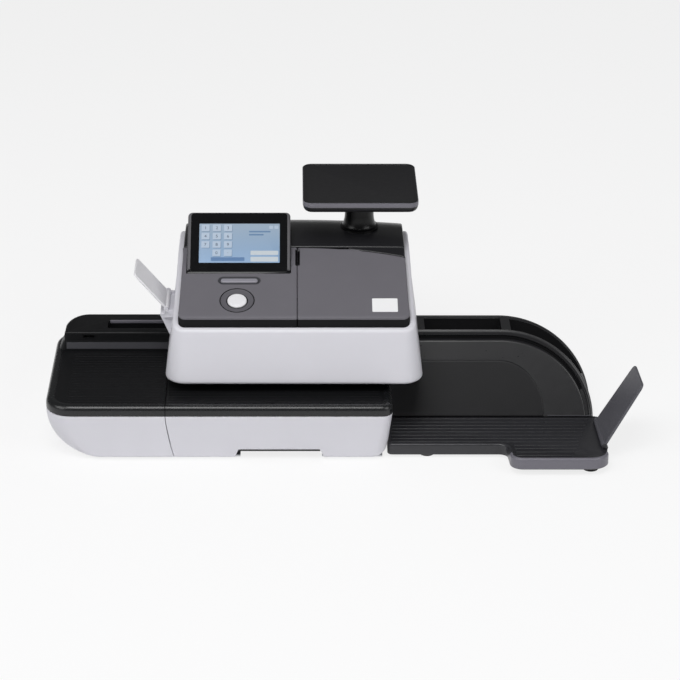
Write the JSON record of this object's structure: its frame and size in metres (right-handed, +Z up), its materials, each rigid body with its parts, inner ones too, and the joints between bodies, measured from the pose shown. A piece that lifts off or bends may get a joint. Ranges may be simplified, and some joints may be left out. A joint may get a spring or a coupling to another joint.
{
  "type": "postage meter",
  "caption": "Desktop postage meter with a feed deck, a printing head with a tilting touch display and hinged lid, a weighing platform and a catch tray with a folding stop.",
  "frame": {"origin": "middle of the footprint, on the desk", "axes": "+X along the letter path from feed to catch tray, +Y from the operator to the back, +Z up"},
  "size_m": [0.6784, 0.3132, 0.255],
  "materials": {
    "white_shell": "fine satin moulded plastic, cool white",
    "grey_cover": "fine texture moulded plastic, charcoal grey",
    "black_plastic": "semi-gloss moulded plastic, black",
    "tray_plastic": "fine grain moulded plastic, black",
    "slate_plastic": "matte moulded plastic, slate",
    "rubber": "matte rubber",
    "steel": "ground steel",
    "sheet_steel": "zinc plated sheet",
    "bronze": "sintered bronze",
    "gear_plastic": "natural acetal",
    "board": "solder mask",
    "glass": "gloss black touch glass",
    "screen": "lit display",
    "ink": "moulded cartridge"
  },
  "bodies": {
    "machine": {"base_pan": "sheet_steel", "rubber_feet": "rubber", "front_shell": "white_shell", "left_shell": "white_shell", "feed_deck": "black_plastic", "left_deck": "black_plastic", "guide_housing": "black_plastic", "rear_housing": "black_plastic", "module_dowels": "steel", "case_screws": "steel", "guide_posts": "steel", "lift_springs": "steel", "lever_pin": "steel", "power_supply": "sheet_steel", "main_board": "board", "mains_inlet": "black_plastic", "data_sockets": "sheet_steel", "head_shell": "white_shell", "head_floor": "black_plastic", "control_panel": "grey_cover", "rear_hood": "black_plastic", "lid_pin": "steel", "display_cradle": "black_plastic", "display_pin": "steel", "start_ring": "black_plastic", "key_board": "board", "label_sill": "white_shell", "label_chute": "black_plastic", "print_unit": "slate_plastic", "ink_cartridge": "ink", "idler_axles": "steel", "scale_column": "black_plastic", "tray_floor": "tray_plastic", "tray_wall": "tray_plastic"},
    "display": {"display_housing": "black_plastic", "lcd_panel": "screen", "display_glass": "glass"},
    "start_key": {"start_button": "white_shell"},
    "menu_key": {"option_key": "slate_plastic"},
    "lid": {"cartridge_lid": "grey_cover"},
    "flap": {"label_flap": "white_shell"},
    "stop": {"letter_stop": "slate_plastic"},
    "pan": {"weighing_pan": "slate_plastic"},
    "carriage": {"transport_frame": "sheet_steel", "shaft_bushes": "bronze", "timing_belt": "rubber", "drive_motor": "sheet_steel", "motor_screws": "steel"},
    "entry_drive": {"drive_shaft_in": "steel", "drive_rollers_in": "rubber", "pulley_in": "gear_plastic"},
    "exit_drive": {"drive_shaft_out": "steel", "drive_rollers_out": "rubber", "pulley_out": "gear_plastic", "drive_gear": "gear_plastic"},
    "motor_rotor": {"motor_shaft": "steel", "motor_pinion": "bronze"},
    "entry_idler": {"idler_in": "rubber"},
    "exit_idler": {"idler_out": "rubber"},
    "lever": {"release_lever": "slate_plastic"}
  },
  "joints": [
    {"name": "display_tilt", "type": "hinge", "parent": "machine", "child": "display", "pos_m": [-0.11871, 0.00759, 0.17604], "axis": [1, 0, 0], "range_deg": [-16, 25]},
    {"name": "start_press", "type": "slide", "parent": "machine", "child": "start_key", "axis": [0, 0.3256, -0.9455], "range_m": [0, 0.002], "stiffness_N_per_m": 600, "springref_m": -0.002},
    {"name": "menu_press", "type": "slide", "parent": "machine", "child": "menu_key", "axis": [0, 0.3256, -0.9455], "range_m": [0, 0.0016], "stiffness_N_per_m": 600, "springref_m": -0.002},
    {"name": "lid_hinge", "type": "hinge", "parent": "machine", "child": "lid", "pos_m": [0.00979, 0.04144, 0.19034], "axis": [-1, 0, 0], "range_deg": [0, 75]},
    {"name": "flap_hinge", "type": "hinge", "parent": "machine", "child": "flap", "pos_m": [-0.20321, 0.00409, 0.145], "axis": [0, 1, 0], "range_deg": [0, 46]},
    {"name": "stop_hinge", "type": "hinge", "parent": "machine", "child": "stop", "pos_m": [0.29679, -0.0811, 0.01544], "axis": [0, 0.9942, -0.108], "range_deg": [-119.5, 0]},
    {"name": "pan_lift", "type": "slide", "parent": "machine", "child": "pan", "axis": [0, 0, 1], "range_m": [0, 0.04]},
    {"name": "transport_drop", "type": "slide", "parent": "machine", "child": "carriage", "axis": [0, 0, 1], "range_m": [-0.0048, 0], "stiffness_N_per_m": 3000, "springref_m": 0.012, "deforming": ["lift_springs"]},
    {"name": "lever_turn", "type": "hinge", "parent": "machine", "child": "lever", "pos_m": [-0.07071, -0.09941, 0.042], "axis": [1, 0, 0], "range_deg": [-14, 0]},
    {"name": "exit_spin", "type": "hinge", "parent": "carriage", "child": "exit_drive", "pos_m": [0.02879, -0.01741, 0.0548], "axis": [0, 1, 0], "continuous": true},
    {"name": "entry_spin", "type": "hinge", "parent": "carriage", "child": "entry_drive", "pos_m": [-0.13121, -0.01741, 0.0548], "axis": [0, 1, 0], "continuous": true},
    {"name": "motor_spin", "type": "hinge", "parent": "carriage", "child": "motor_rotor", "pos_m": [0.01079, 0.04059, 0.03335], "axis": [0, 1, 0], "continuous": true},
    {"name": "exit_idler_spin", "type": "hinge", "parent": "machine", "child": "exit_idler", "pos_m": [0.02879, -0.01741, 0.0843], "axis": [0, 1, 0], "continuous": true},
    {"name": "entry_idler_spin", "type": "hinge", "parent": "machine", "child": "entry_idler", "pos_m": [-0.13121, -0.01741, 0.0843], "axis": [0, 1, 0], "continuous": true}
  ],
  "couplings": [
    {"joint": "lever_turn", "follows": "transport_drop", "rad_per_m": 50},
    {"joint": "entry_spin", "follows": "exit_spin", "ratio": 1},
    {"joint": "motor_spin", "follows": "exit_spin", "ratio": -2.1111},
    {"joint": "exit_idler_spin", "follows": "exit_spin", "ratio": -0.93333},
    {"joint": "entry_idler_spin", "follows": "exit_spin", "ratio": -0.93333}
  ]
}
